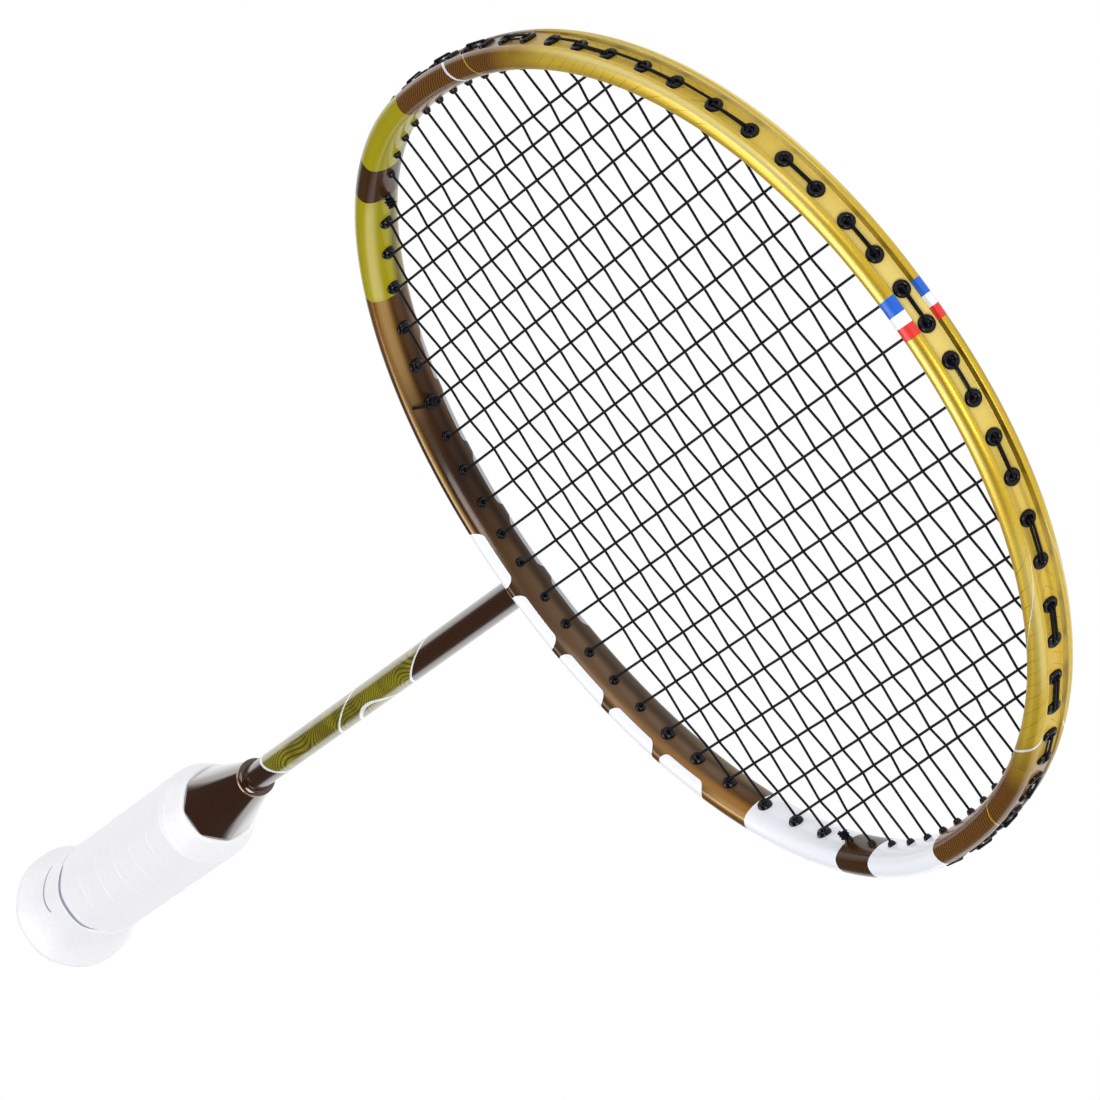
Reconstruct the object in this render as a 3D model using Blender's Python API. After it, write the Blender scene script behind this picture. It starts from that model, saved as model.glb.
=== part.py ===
"""Badminton racket, lying flat with its string face up.

X runs across the head, Y from the butt to the tip, Z up out of the string
face.  The origin is the middle of the bounding box.  Sizes are millimetres
and are turned into metres when a mesh is made.
"""
import math

import bmesh
import bpy
import numpy as np
from mathutils import Vector

MM = 0.001

# Whole racket
overall_length = 675.0
gap = 0.3

# Head hoop: two half superellipses for the inner wall, joined at the widest line
inner_half_width = 94.1
tip_reach = 141.0
throat_reach = 108.5
tip_squareness = 2.13
throat_squareness = 2.045
frame_width = 6.2
frame_height = 10.2
groove_depth = 1.6
groove_height = 5.0
hoop_stations = 92

# Boss and spigot of the throat that carry the shaft
boss_rise = 1.4
boss_flare = 0.9
spigot_length = 18.0

# Strings
string_diameter = 0.68
string_sides = 5
main_pairs = 11
throat_pitch = 8.15
throat_regular = 9
throat_pitch_10 = 6.5
throat_pitch_11 = 5.2
tip_pitch = 7.95
tip_pitch_outer = 6.2
tip_pitch_11 = 4.7
cross_count = 23
tip_shared_count = 5
throat_shared_count = 4

# Grommets
string_slack = 0.19
barrel_wall = 0.4
barrel_standout = 0.8
head_overhang = 0.35
head_thickness = 0.5
runner_width = 1.1

# Shaft and handle
shaft_diameter = 7.0
shaft_wall = 0.9
shaft_sides = 16
shaft_in_handle = 90.0
cone_top_radius = 4.8
cone_base_radius = 11.0
cone_length = 45.5
ring_height = 1.6
ring_overhang = 0.35
handle_length = 186.0
handle_radius = 11.0
butt_radius = 16.4
butt_length = 39.0
butt_edge = 1.4
butt_plug = 4.0
butt_flank_exponent = 3.4
grip_lap = 12.0
grip_lip = 0.7
grip_thickness = 1.2
tape_step = 0.45
tape_pitch = 17.0

# Dependent sizes
half_length = overall_length / 2
widest_y = overall_length - frame_width - tip_reach
string_radius = string_diameter / 2
level = string_radius + 0.23
bore_radius = level + string_radius + string_slack
barrel_radius = bore_radius + barrel_wall
hole_radius = barrel_radius + gap
head_radius = barrel_radius + head_overhang
floor_r = frame_width - groove_depth
head_top_r = floor_r + gap + head_thickness
loop_r = head_top_r + gap + string_radius
bend_r = barrel_standout + gap
shaft_radius = shaft_diameter / 2
socket_radius = shaft_radius + gap
shaft_bore_radius = shaft_radius - shaft_wall
spigot_radius = shaft_bore_radius - gap
boss_radius = shaft_radius + boss_flare
throat_outer_y = widest_y - throat_reach - frame_width
boss_end_y = throat_outer_y - boss_rise
shaft_top_y = boss_end_y - gap
spigot_end_y = boss_end_y - spigot_length
ring_top_y = handle_length
ring_bottom_y = ring_top_y - ring_height
cone_top_y = ring_bottom_y - gap
cone_bottom_y = cone_top_y - cone_length
core_top_y = cone_bottom_y - gap
core_bottom_y = butt_length + gap
shaft_bottom_y = core_top_y - shaft_in_handle
grip_bottom_y = butt_length - butt_plug
grip_top_y = cone_bottom_y + grip_lap
grip_inner_radius = max(handle_radius, cone_base_radius) + gap
grip_outer_radius = grip_inner_radius + grip_thickness


def clear_scene():
    for item in list(bpy.data.objects):
        bpy.data.objects.remove(item, do_unlink=True)


def make_material(name, colour, roughness, metallic):
    material = bpy.data.materials.new(name)
    material.use_nodes = True
    shader = material.node_tree.nodes["Principled BSDF"]
    shader.inputs["Base Color"].default_value = (*colour, 1.0)
    shader.inputs["Roughness"].default_value = roughness
    shader.inputs["Metallic"].default_value = metallic
    return material


def make_object(name, points, faces, material=None):
    mesh = bpy.data.meshes.new(name)
    moved = [((p[0]) * MM, (p[1] - half_length) * MM, p[2] * MM) for p in points]
    mesh.from_pydata(moved, [], faces)
    bm = bmesh.new()
    bm.from_mesh(mesh)
    bmesh.ops.recalc_face_normals(bm, faces=bm.faces)
    bm.to_mesh(mesh)
    bm.free()
    item = bpy.data.objects.new(name, mesh)
    bpy.context.scene.collection.objects.link(item)
    if material:
        mesh.materials.append(material)
    return item


def combine(target, cutter, operation):
    step = target.modifiers.new("step", "BOOLEAN")
    step.object = cutter
    step.operation = operation
    step.solver = "EXACT"
    graph = bpy.context.evaluated_depsgraph_get()
    mesh = bpy.data.meshes.new_from_object(target.evaluated_get(graph))
    target.modifiers.clear()
    target.data = mesh
    bpy.data.objects.remove(cutter, do_unlink=True)


def tidy(item):
    bm = bmesh.new()
    bm.from_mesh(item.data)
    bmesh.ops.remove_doubles(bm, verts=bm.verts, dist=0.000002)
    bmesh.ops.dissolve_degenerate(bm, dist=0.000002, edges=bm.edges)
    bmesh.ops.triangulate(bm, faces=bm.faces)
    bm.to_mesh(item.data)
    bm.free()


def skin(rings, closed_ends=True, looped=False):
    """Faces over rings of equal length: quads between rings, fans at the ends."""
    count = len(rings[0])
    points = [p for ring in rings for p in ring]
    faces = []
    last = len(rings) if looped else len(rings) - 1
    for i in range(last):
        a = i * count
        b = ((i + 1) % len(rings)) * count
        for j in range(count):
            k = (j + 1) % count
            faces.append((a + j, a + k, b + k, b + j))
    if closed_ends and not looped:
        faces.append(tuple(range(count - 1, -1, -1)))
        faces.append(tuple(range(len(points) - count, len(points))))
    return points, faces


def circle(centre, axis, radius, sides, phase=0.0):
    axis = Vector(axis).normalized()
    across = axis.cross(Vector((0, 0, 1)))
    if across.length < 0.01:
        across = Vector((1, 0, 0))
    across.normalize()
    up = axis.cross(across)
    centre = Vector(centre)
    ring = []
    for j in range(sides):
        angle = 2 * math.pi * (j + phase) / sides
        ring.append(centre + radius * (math.cos(angle) * across + math.sin(angle) * up))
    return ring


def wall(angle):
    """Point of the inner wall and the outward normal at one angle of the hoop."""
    c, s = math.cos(angle), math.sin(angle)
    reach, n = (tip_reach, tip_squareness) if s >= 0 else (throat_reach, throat_squareness)
    u = math.copysign(abs(c) ** (2 / n), c)
    v = math.copysign(abs(s) ** (2 / n), s)
    nx = math.copysign(abs(u) ** (n - 1), u) / inner_half_width
    ny = math.copysign(abs(v) ** (n - 1), v) / reach
    size = math.hypot(nx, ny)
    return inner_half_width * u, widest_y + reach * v, nx / size, ny / size


def at_offset(angle, r):
    x, y, nx, ny = wall(angle)
    return x + nx * r, y + ny * r


def solve_angle(low, high, axis, value):
    """Angle between low and high whose bend point has the given x or y."""
    rising = at_offset(high, -bend_r)[axis] > at_offset(low, -bend_r)[axis]
    for _ in range(60):
        middle = (low + high) / 2
        above = at_offset(middle, -bend_r)[axis] > value
        if above == rising:
            high = middle
        else:
            low = middle
    return (low + high) / 2


def throat_x(index):
    """Distance of main string 1 to 11 from the middle line at the throat."""
    x = (min(index, throat_regular) - 0.5) * throat_pitch
    if index > throat_regular:
        x += throat_pitch_10
    if index == main_pairs:
        x += throat_pitch_11
    return x


def tip_x(index):
    """The same at the tip, where the outer mains draw in a little."""
    regular = throat_regular - 1
    x = (min(index, regular) - 0.5) * tip_pitch
    x += max(0, min(index, main_pairs - 1) - regular) * tip_pitch_outer
    if index == main_pairs:
        x += tip_pitch_11
    return x


class Hole:
    """One string hole: bend point inside, axis outward, exit on the groove."""

    def __init__(self, angle, side):
        x, y, nx, ny = wall(angle)
        self.side = side
        self.normal = Vector((side * nx, ny, 0))
        self.bend = Vector((side * (x - nx * bend_r), y - ny * bend_r, 0))
        self.exit = Vector((side * (x + nx * floor_r), y + ny * floor_r, 0))
        self.axis = self.normal.copy()

    def lean(self, shift):
        """Move the exit sideways so that the hole clears the boss."""
        tangent = Vector((-self.normal.y, self.normal.x, 0))
        if tangent.x * self.side < 0:
            tangent = -tangent
        self.exit = self.exit + tangent * shift
        self.axis = (self.exit - self.bend).normalized()

    def at(self, r, z):
        """Point over the exit, r measured from the inner wall, lifted to z."""
        rise = (r - floor_r) / max(0.2, self.axis.dot(self.normal))
        point = self.exit + self.axis * rise
        return Vector((point.x, point.y, z))

    def inside(self, z):
        return Vector((self.bend.x, self.bend.y, z))


def lay_out_holes():
    """Holes by name: T at the tip, B at the throat and C at the sides."""
    holes = {}
    quarter = math.pi / 2 - 0.001
    for side, letter in ((1, "R"), (-1, "L")):
        for i in range(1, main_pairs + 1):
            holes["T%d%s" % (i, letter)] = Hole(solve_angle(0.02, quarter, 0, tip_x(i)), side)
            holes["B%d%s" % (i, letter)] = Hole(solve_angle(-quarter, -0.02, 0, throat_x(i)), side)
        clear = boss_radius + head_radius + 2 * gap
        for i in (1, 2, 3):
            want = clear + (i - 1) * 2 * (head_radius + gap)
            hole = holes["B%d%s" % (i, letter)]
            hole.lean(max(0.0, want - abs(hole.exit.x)))
    high = holes["T%dR" % main_pairs].bend.y
    low = holes["B%dR" % main_pairs].bend.y
    own = cross_count - tip_shared_count - throat_shared_count
    step = (high - low) / (own + 1)
    for k in range(1, own + 1):
        angle = solve_angle(-0.9, 0.9, 1, high - step * k)
        for side, letter in ((1, "R"), (-1, "L")):
            holes["C%d%s" % (tip_shared_count + k, letter)] = Hole(angle, side)
    return holes


def cross_hole(k, letter):
    """Name of the hole that cross string k uses on one side."""
    if k <= tip_shared_count:
        return "T%d%s" % (main_pairs - tip_shared_count + k, letter)
    if k > cross_count - throat_shared_count:
        return "B%d%s" % (main_pairs - (k - (cross_count - throat_shared_count) - 1), letter)
    return "C%d%s" % (k, letter)


def build_frame(holes, material):
    """Hoop swept along the inner wall, with an outer channel, a boss and holes."""
    w, h, g = frame_width, frame_height / 2, groove_height / 2
    half = [
        (0.0, 0.36 * h), (0.09 * w, 0.76 * h), (0.3 * w, h), (0.62 * w, h),
        (0.9 * w, 0.86 * h), (w, 0.5 * (h + g)), (0.97 * w, 1.04 * g), (floor_r, g),
    ]
    profile = half + [(r, -z) for r, z in reversed(half)]
    fine = [wall(2 * math.pi * i / 2400 + math.pi / 2) for i in range(2400)]
    steps = [0.0]
    for i in range(2400):
        a, b = fine[i], fine[(i + 1) % 2400]
        steps.append(steps[-1] + math.hypot(b[0] - a[0], b[1] - a[1]))
    rings = []
    for i in range(hoop_stations):
        want = steps[-1] * i / hoop_stations
        x, y, nx, ny = fine[int(np.searchsorted(steps[:-1], want)) % 2400]
        rings.append([(x + nx * r, y + ny * r, z) for r, z in profile])
    frame = make_object("head_frame", *skin(rings, looped=True), material)

    rings = []
    for y, r in (
        (throat_outer_y + 0.5 * frame_width, boss_radius), (throat_outer_y + 0.2, boss_radius),
        (boss_end_y, shaft_radius + 0.15), (boss_end_y, spigot_radius), (spigot_end_y, spigot_radius),
    ):
        rings.append(circle((0, y, 0), (0, 1, 0), r, shaft_sides))
    combine(frame, make_object("boss", *skin(rings)), "UNION")

    points, faces = [], []
    for hole in holes.values():
        start = hole.bend
        end = hole.exit + hole.axis * (groove_depth + 1.5)
        ring_pair = [circle(p, hole.axis, hole_radius, 6, 0.5) for p in (start, end)]
        more, sides = skin(ring_pair)
        faces += [tuple(i + len(points) for i in face) for face in sides]
        points += more
    combine(frame, make_object("string_holes", points, faces), "DIFFERENCE")
    tidy(frame)
    return frame


def lathe(stations, sides):
    """Rings around the axis of a hole; each station is (point, axis, radius)."""
    return [circle(p, axis, r, sides, 0.5) for p, axis, r in stations]


def build_grommets(name, members, material):
    """One grommet, or a pair joined by the thin runner under its string loop."""
    item = None
    inner = bend_r - barrel_standout
    for hole in members:
        seat = hole.exit + hole.normal * gap
        crown = hole.exit + hole.normal * (gap + head_thickness)
        foot = hole.bend + hole.axis * inner
        neck = hole.exit + hole.axis * (gap + 0.5 * head_thickness)
        barrel = lathe(((foot, hole.axis, barrel_radius), (neck, hole.axis, barrel_radius)), 6)
        head = lathe(((seat, hole.normal, head_radius), (crown, hole.normal, head_radius)), 8)
        for rings in (barrel, head):
            piece = make_object(name, *skin(rings), material)
            if item is None:
                item = piece
            else:
                combine(item, piece, "UNION")
    if len(members) == 2:
        one, two = members
        rings = []
        half = runner_width / 2
        for hole in (one, two):
            base = hole.exit + hole.normal * gap
            top = base + hole.normal * head_thickness * 0.8
            rings.append([
                (base.x, base.y, -half), (base.x, base.y, half),
                (top.x, top.y, half), (top.x, top.y, -half),
            ])
        combine(item, make_object("runner", *skin(rings)), "UNION")
    for hole in members:
        start = hole.bend - hole.axis
        end = hole.exit + hole.axis * (gap + head_thickness + 1.0)
        rings = lathe(((start, hole.axis, bore_radius), (end, hole.axis, bore_radius)), 6)
        combine(item, make_object("bore", *skin(rings)), "DIFFERENCE")
    tidy(item)
    item.name = name
    return item


def tube(name, path, material):
    """Closed tube along a path of points, mitred where it bends."""
    points = [Vector(p) for p in path]
    rings = []
    for i, point in enumerate(points):
        before = (point - points[i - 1]).normalized() if i else None
        after = (points[i + 1] - point).normalized() if i + 1 < len(points) else None
        along = after if before is None else before if after is None else (before + after)
        along = along.normalized()
        level_axis = along.cross(Vector((0, 0, 1))).normalized()
        up = level_axis.cross(along).normalized()
        stretch = 1.0
        if before is not None and after is not None:
            stretch = min(1.6, 1.0 / max(0.3, math.cos(before.angle(after) / 2)))
        ring = []
        for j in range(string_sides):
            angle = 2 * math.pi * j / string_sides
            ring.append(
                point + string_radius * (stretch * math.cos(angle) * level_axis + math.sin(angle) * up)
            )
        rings.append(ring)
    return make_object(name, *skin(rings), material)


def loop_over(one, two, z):
    """Path from the bend of one hole, over the outside, to the bend of the next."""
    outer = [one.inside(z)]
    for hole, other in ((one, two), (two, one)):
        run = other.at(loop_r, z) - hole.at(loop_r, z)
        corner = [
            hole.at(loop_r - 0.55, z), hole.at(loop_r, z) + run.normalized() * 0.55,
        ]
        outer += corner if hole is one else corner[::-1]
    outer.append(two.inside(z))
    return outer


def main_route(holes):
    """Mains from the tail at the left side hole, snaking to the tail at the right."""
    order = [(i, "L") for i in range(main_pairs, 0, -1)] + [(i, "R") for i in range(1, main_pairs + 1)]
    anchor = cross_count - throat_shared_count
    path = loop_over(holes[cross_hole(anchor, "L")], holes["B%dL" % main_pairs], level)
    at_tip = True
    for (i, letter), (j, other) in zip(order[:-1], order[1:]):
        end = "T" if at_tip else "B"
        path += loop_over(holes["%s%d%s" % (end, i, letter)], holes["%s%d%s" % (end, j, other)], level)
        at_tip = not at_tip
    return path + loop_over(holes["B%dR" % main_pairs], holes[cross_hole(anchor, "R")], level)


def cross_route(holes):
    """Crosses from the tail at the tip right, side to side to the tail at the throat."""
    first = main_pairs - tip_shared_count
    path = loop_over(holes["T%dR" % first], holes[cross_hole(1, "R")], -level)
    to_left = True
    for k in range(1, cross_count):
        letter = "L" if to_left else "R"
        path += loop_over(holes[cross_hole(k, letter)], holes[cross_hole(k + 1, letter)], -level)
        to_left = not to_left
    tail = loop_over(holes[cross_hole(cross_count, "L")], holes[tail_anchor()], -level)
    passed = main_pairs - throat_shared_count
    return path + tail[:3] + [holes["B%dL" % passed].at(loop_r, -level)] + tail[3:]


def tail_anchor():
    """Throat hole where the last cross string is tied, two past its own."""
    return "B%dL" % (main_pairs - throat_shared_count - 1)


def least_gap(path):
    """Least clear distance between runs of one path that are not neighbours."""
    marks, owner = [], []
    for i in range(len(path) - 1):
        a, b = np.array(path[i]), np.array(path[i + 1])
        count = max(2, int(np.linalg.norm(b - a) / 1.5))
        for t in np.linspace(0, 1, count, endpoint=False):
            marks.append(a + (b - a) * t)
            owner.append(i)
    marks, owner = np.array(marks), np.array(owner)
    least = 1e9
    for i in range(len(marks)):
        far = np.abs(owner - owner[i]) > 4
        if far.any():
            least = min(least, np.linalg.norm(marks[far] - marks[i], axis=1).min())
    return least - string_diameter


def build_knot(name, hole, along, z, material):
    """Small tied ring around an anchor string, just inside its grommet."""
    along = Vector(along)
    centre = hole.inside(z) + along * 2.0
    across = along.cross(Vector((0, 0, 1)))
    thick = 0.42
    middle = string_radius + gap + thick
    rings = []
    for j in range(8):
        angle = 2 * math.pi * j / 8
        spoke = across * math.cos(angle) + Vector((0, 0, 1)) * math.sin(angle)
        ring = []
        for m in range(6):
            turn = 2 * math.pi * m / 6
            reach = middle + thick * math.cos(turn)
            ring.append(centre + spoke * reach + along * (1.6 * thick * math.sin(turn)))
        rings.append(ring)
    return make_object(name, *skin(rings, looped=True), material)


def cone_radius(y):
    """Radius of the cone at a height along the racket."""
    return cone_base_radius + (cone_top_radius - cone_base_radius) * (y - cone_bottom_y) / cone_length


def octagon(y, radius, roundness=9.0):
    """Sixteen points: an octagon with its corners cut back."""
    ring = []
    for k in range(8):
        for turn in (-roundness, roundness):
            angle = math.radians(22.5 + 45 * k + turn)
            ring.append((radius * math.cos(angle), y, radius * math.sin(angle)))
    return ring


def round_ring(y, radius):
    """Sixteen points of a circle, lined up with those of the octagon."""
    return octagon(y, radius, 11.25)


def bore_out(item, bottom, top, radius):
    rings = [circle((0, y, 0), (0, 1, 0), radius, shaft_sides) for y in (bottom, top)]
    combine(item, make_object("bore", *skin(rings)), "DIFFERENCE")


def build_handle(materials):
    """Shaft, cone with its ring, wooden core, butt cap and wound grip."""
    rings = [circle((0, y, 0), (0, 1, 0), shaft_radius, shaft_sides) for y in (shaft_bottom_y, shaft_top_y)]
    shaft = make_object("shaft", *skin(rings), materials["shaft"])
    bore_out(shaft, shaft_bottom_y - 1, shaft_top_y + 1, shaft_bore_radius)
    tidy(shaft)

    rings = []
    for y, roundness in (
        (cone_bottom_y, 9.0), (grip_top_y + 2.0, 9.0), (cone_top_y - 0.35 * cone_length, 10.3),
        (cone_top_y - 0.1 * cone_length, 11.25), (cone_top_y, 11.25),
    ):
        rings.append(octagon(y, cone_radius(y), roundness))
    cone = make_object("cone_cap", *skin(rings), materials["cone"])
    bore_out(cone, cone_bottom_y - 1, cone_top_y + 1, socket_radius)
    tidy(cone)

    radius = cone_top_radius + ring_overhang
    rings = [
        round_ring(ring_bottom_y, radius - 0.2), round_ring(ring_bottom_y + 0.4, radius),
        round_ring(ring_top_y - 0.4, radius), round_ring(ring_top_y, radius - 0.2),
    ]
    ring = make_object("cone_ring", *skin(rings), materials["ring"])
    bore_out(ring, ring_bottom_y - 1, ring_top_y + 1, socket_radius)
    tidy(ring)

    rings = [octagon(y, handle_radius, 4.0) for y in (core_bottom_y, core_top_y)]
    core = make_object("handle_core", *skin(rings), materials["core"])
    bore_out(core, shaft_bottom_y - gap, core_top_y + 1, socket_radius)
    tidy(core)

    waist = grip_inner_radius - gap
    neck = grip_outer_radius + tape_step
    neck_y = grip_bottom_y - gap
    brim = butt_radius - 0.2 * butt_edge
    brim_y = butt_edge + 0.06 * grip_bottom_y
    rings = [
        round_ring(0.0, butt_radius - butt_edge), round_ring(0.3 * butt_edge, butt_radius - 0.3 * butt_edge),
        octagon(butt_edge, butt_radius, 10.0),
    ]
    for share in (0.0, 0.08, 0.2, 0.36, 0.58, 1.0):
        flank = neck + (brim - neck) * (1 - share) ** butt_flank_exponent
        rings.append(octagon(brim_y + (neck_y - brim_y) * share, flank, 10.0))
    rings += [octagon(neck_y, waist, 6.0), octagon(butt_length, waist, 6.0)]
    make_object("butt_cap", *skin(rings), materials["butt"])
    build_grip(materials["grip"])


def build_grip(material):
    """Tape wound over the core: one sleeve whose outside steps up once a turn."""
    sides = 16
    lead = tape_pitch
    turns = int(math.ceil((grip_top_y - grip_bottom_y) / lead)) + 2
    template = octagon(0.0, 1.0)
    rings = []
    for i in range(turns * sides + 1):
        y = grip_bottom_y - lead + lead * i / sides
        cx, _, cz = template[i % sides]
        rings.append((cx, cz, y))
    points, faces = [], []
    low = grip_outer_radius
    for cx, cz, y in rings:
        points.append((cx * low, y, cz * low))
        high = low + tape_step
        points.append((cx * high, y + 0.9 * lead, cz * high))
    for i in range(len(rings) - 1):
        faces.append((2 * i, 2 * i + 2, 2 * i + 3, 2 * i + 1))
    for i in range(len(rings) - 1 - sides):
        faces.append((2 * i + 1, 2 * i + 3, 2 * (i + sides) + 2, 2 * (i + sides)))
    lead_in = len(points)
    points.append((0, grip_bottom_y - 2 * lead, 0))
    for i in range(sides):
        faces.append((lead_in, 2 * i, 2 * (i + 1)))
    faces.append((lead_in, 0, 2 * sides))
    final = len(rings) - 1
    lead_out = len(points)
    points.append((0, rings[final][2] + 3 * lead, 0))
    for i in range(final - sides, final):
        faces.append((lead_out, 2 * i + 1, 2 * (i + 1) + 1))
    faces.append((lead_out, 2 * (final - sides) + 1, 2 * final))
    faces.append((lead_out, 2 * final, 2 * final + 1))
    grip = make_object("grip_tape", points, faces, material)
    reach = butt_radius + 10
    outside = (
        (grip_bottom_y, reach), (cone_bottom_y - 3.0, reach), (cone_bottom_y, grip_outer_radius),
        (grip_top_y, cone_radius(grip_top_y) + gap + grip_lip),
    )
    rings = [octagon(y, r, 8.0) for y, r in outside]
    combine(grip, make_object("outside", *skin(rings)), "INTERSECT")
    inside = (
        (grip_bottom_y - 1, grip_inner_radius), (cone_bottom_y, grip_inner_radius),
        (grip_top_y + 1, cone_radius(grip_top_y + 1) + gap),
    )
    rings = [octagon(y, r) for y, r in inside]
    combine(grip, make_object("inside", *skin(rings)), "DIFFERENCE")
    tidy(grip)


def grommet_groups(holes):
    """Grommets in the pairs that a string loop joins, and the two left over."""
    groups = [("T1L", "T1R")]
    for letter in ("R", "L"):
        for i in range(2, main_pairs, 2):
            groups.append(("T%d%s" % (i, letter), "T%d%s" % (i + 1, letter)))
        for i in range(1, main_pairs - 1, 2):
            groups.append(("B%d%s" % (i, letter), "B%d%s" % (i + 1, letter)))
    first, final = tip_shared_count + 1, cross_count - throat_shared_count
    for k in range(first, final, 2):
        groups.append(("C%dR" % k, "C%dR" % (k + 1)))
    for k in range(first + 1, final, 2):
        groups.append(("C%dL" % k, "C%dL" % (k + 1)))
    groups.append(("C%dL" % final, "B%dL" % main_pairs))
    groups += [("C%dL" % first,), ("B%dR" % main_pairs,)]
    return groups


def plain_name(keys):
    """Readable node name of a grommet group."""
    words = {"T": "tip", "B": "throat", "C": "side"}
    sides = {"L": "left", "R": "right"}
    if keys == ("T1L", "T1R"):
        return "grommets_tip_centre"
    letter = keys[0][-1]
    number = "_".join(k[1:-1] for k in keys) if keys[-1][0] == keys[0][0] else keys[0][1:-1] + "_corner"
    kind = "grommets" if len(keys) == 2 else "grommet"
    return "%s_%s_%s_%s" % (kind, words[keys[0][0]], sides[letter], number)


def main():
    clear_scene()
    holes = lay_out_holes()
    frame_paint = make_material("frame_lacquer", (0.62, 0.46, 0.05), 0.25, 0.6)
    build_frame(holes, frame_paint)
    black = make_material("grommet_plastic", (0.012, 0.011, 0.013), 0.35, 0.0)
    for keys in grommet_groups(holes):
        build_grommets(plain_name(keys), [holes[k] for k in keys], black)
    cord = make_material("string_nylon", (0.02, 0.02, 0.022), 0.4, 0.0)
    mains = main_route(holes)
    crosses = cross_route(holes)
    tube("main_string", mains, cord)
    tube("cross_string", crosses, cord)
    for name, path in (("main", mains), ("cross", crosses)):
        run = sum((Vector(b) - Vector(a)).length for a, b in zip(path[:-1], path[1:]))
        print("%s string: %.0f mm long, least gap to itself %.2f mm" % (name, run, least_gap(path)))
    anchor = cross_count - throat_shared_count
    build_knot("main_knot_left", holes[cross_hole(anchor, "L")], (1, 0, 0), -level, cord)
    build_knot("main_knot_right", holes[cross_hole(anchor, "R")], (-1, 0, 0), -level, cord)
    build_knot("cross_knot_tip", holes["T%dR" % (main_pairs - tip_shared_count)], (0, -1, 0), level, cord)
    build_knot("cross_knot_throat", holes[tail_anchor()], (0, 1, 0), level, cord)
    build_handle({
        "shaft": make_material("shaft_lacquer", (0.05, 0.025, 0.012), 0.15, 0.2),
        "cone": make_material("cone_plastic", (0.045, 0.018, 0.008), 0.2, 0.0),
        "ring": make_material("ring_copper", (0.55, 0.28, 0.12), 0.25, 0.9),
        "core": make_material("core_wood", (0.55, 0.38, 0.2), 0.7, 0.0),
        "butt": make_material("butt_plastic", (0.85, 0.85, 0.86), 0.5, 0.0),
        "grip": make_material("grip_tape", (0.86, 0.86, 0.88), 0.6, 0.0),
    })


main()
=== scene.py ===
"""Looks of a badminton racket: smooth pieces, woven strings, paint and stage.

Every piece is worked out in millimetres, with y counted from the butt, and
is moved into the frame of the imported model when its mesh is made.
"""
import math

import bmesh
import bpy
import numpy as np
from bpy.props import FloatProperty, FloatVectorProperty, IntProperty, PointerProperty
from mathutils import Matrix, Vector


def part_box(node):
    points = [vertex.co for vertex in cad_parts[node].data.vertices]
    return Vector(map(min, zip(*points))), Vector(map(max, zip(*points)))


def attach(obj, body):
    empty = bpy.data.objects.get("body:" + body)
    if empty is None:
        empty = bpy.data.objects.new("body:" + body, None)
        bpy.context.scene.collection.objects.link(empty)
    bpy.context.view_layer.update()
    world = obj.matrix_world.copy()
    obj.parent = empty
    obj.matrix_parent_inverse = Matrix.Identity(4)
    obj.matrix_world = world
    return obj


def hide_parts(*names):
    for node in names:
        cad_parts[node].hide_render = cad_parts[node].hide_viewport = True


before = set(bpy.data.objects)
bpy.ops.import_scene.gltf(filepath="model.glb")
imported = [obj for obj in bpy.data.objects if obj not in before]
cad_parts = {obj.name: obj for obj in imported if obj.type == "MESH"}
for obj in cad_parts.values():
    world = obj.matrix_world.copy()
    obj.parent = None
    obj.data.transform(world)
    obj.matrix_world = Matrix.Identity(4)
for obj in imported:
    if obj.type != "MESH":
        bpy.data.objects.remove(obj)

bl_info = {
    "name": "Badminton racket looks",
    "version": (1, 0, 0),
    "blender": (4, 5, 0),
    "location": "View3D > Sidebar > Racket",
    "description": "Dresses the packed badminton racket with smooth pieces, paint and a stage",
    "category": "Object",
}


def linear(code):
    """Linear colour of an sRGB hex code."""
    values = np.array([int(code[i:i + 2], 16) / 255 for i in (0, 2, 4)])
    curve = np.where(values <= 0.04045, values / 12.92, ((values + 0.055) / 1.055) ** 2.4)
    return tuple(float(v) for v in curve)


def length(name, text, default):
    """Property for a size in metres, written in millimetres."""
    return FloatProperty(name=name, description=text, default=default / 1000, subtype="DISTANCE", unit="LENGTH")


def colour(name, text, code):
    """Property for a paint colour, written as an sRGB hex code."""
    return FloatVectorProperty(
        name=name, description=text, default=linear(code), size=3, min=0.0, max=1.0, subtype="COLOR"
    )


class RacketSizes(bpy.types.PropertyGroup):
    """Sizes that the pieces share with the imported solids."""

    overall: length("Overall length", "Butt to tip", 675.0)
    half_width: length("Half width", "Inner half width of the head", 94.1)
    tip_reach: length("Tip reach", "Widest line to the tip's inner wall", 141.0)
    throat_reach: length("Throat reach", "Widest line to the throat's inner wall", 108.5)
    hoop_width: length("Hoop width", "Radial width of the hoop", 6.2)
    hoop_height: length("Hoop height", "Height of the hoop", 10.2)
    groove_depth: length("Groove depth", "Depth of the outer channel", 1.6)
    groove_height: length("Groove height", "Height of the outer channel", 5.0)
    string: length("String", "Diameter of the string", 0.6)
    shaft: length("Shaft", "Diameter of the shaft", 7.0)
    butt: length("Butt", "Radius of the flared butt", 16.4)
    grip: length("Grip", "Outer radius of the wound tape", 12.75)
    tape_pitch: length("Tape pitch", "Advance of the tape in a turn", 17.0)
    tip_squareness: FloatProperty(name="Tip squareness", description="Exponent of the tip half", default=2.13)
    throat_squareness: FloatProperty(
        name="Throat squareness", description="Exponent of the throat half", default=2.045
    )
    mains: IntProperty(name="Mains", description="Main strings on each side", default=11)
    crosses: IntProperty(name="Crosses", description="Cross strings", default=23)


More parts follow.
